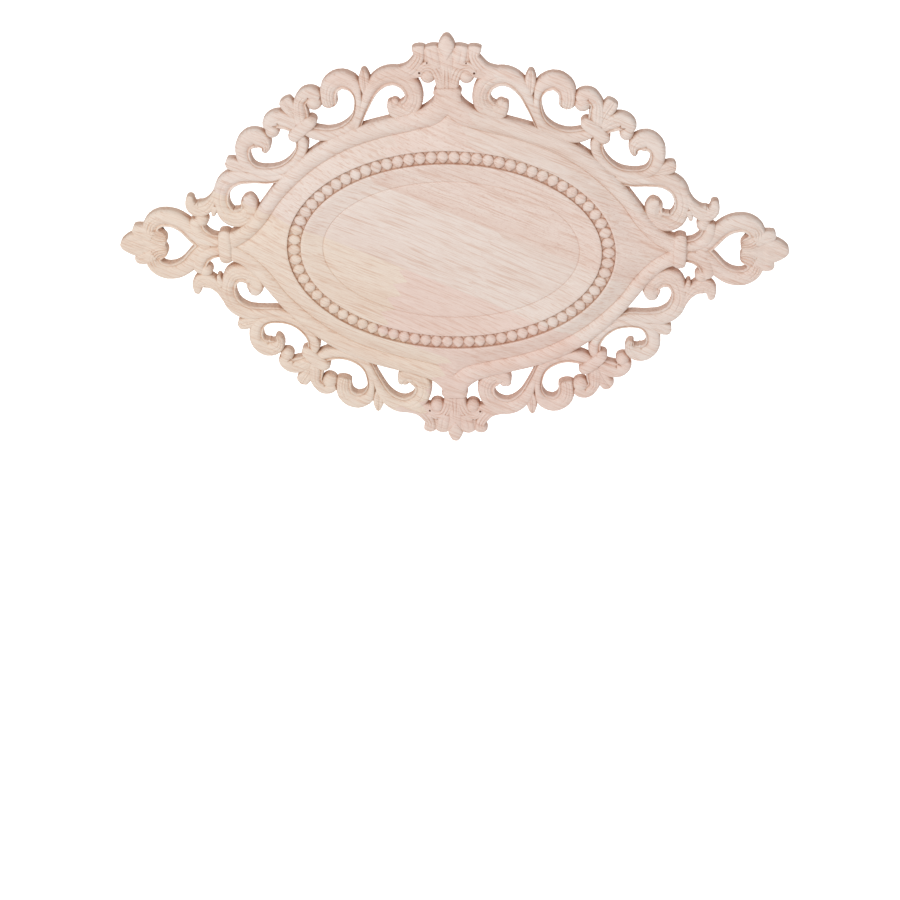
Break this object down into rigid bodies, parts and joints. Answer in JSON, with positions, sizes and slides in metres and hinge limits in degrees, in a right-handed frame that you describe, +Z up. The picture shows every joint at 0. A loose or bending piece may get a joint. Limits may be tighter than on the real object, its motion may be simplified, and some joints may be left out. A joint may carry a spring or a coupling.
{
  "type": "carved wood applique",
  "caption": "Flat-backed pierced wood applique: an oval panel with a beaded ring, framed by carved scrolls and leaves, to be glued or pinned to a door, a cabinet or a wall.",
  "frame": {"origin": "middle of the oval panel on the flat back", "axes": "+X to the right as seen from the front, +Y out of the flat back towards the surface it is fixed to, +Z up; the carving faces -Y"},
  "size_m": [0.48, 0.0142, 0.3196],
  "materials": {
    "pale_wood": "bare sanded hardwood, glued from staves of slightly different tone"
  },
  "bodies": {
    "root": {"carved_applique": "pale_wood"}
  },
  "joints": []
}
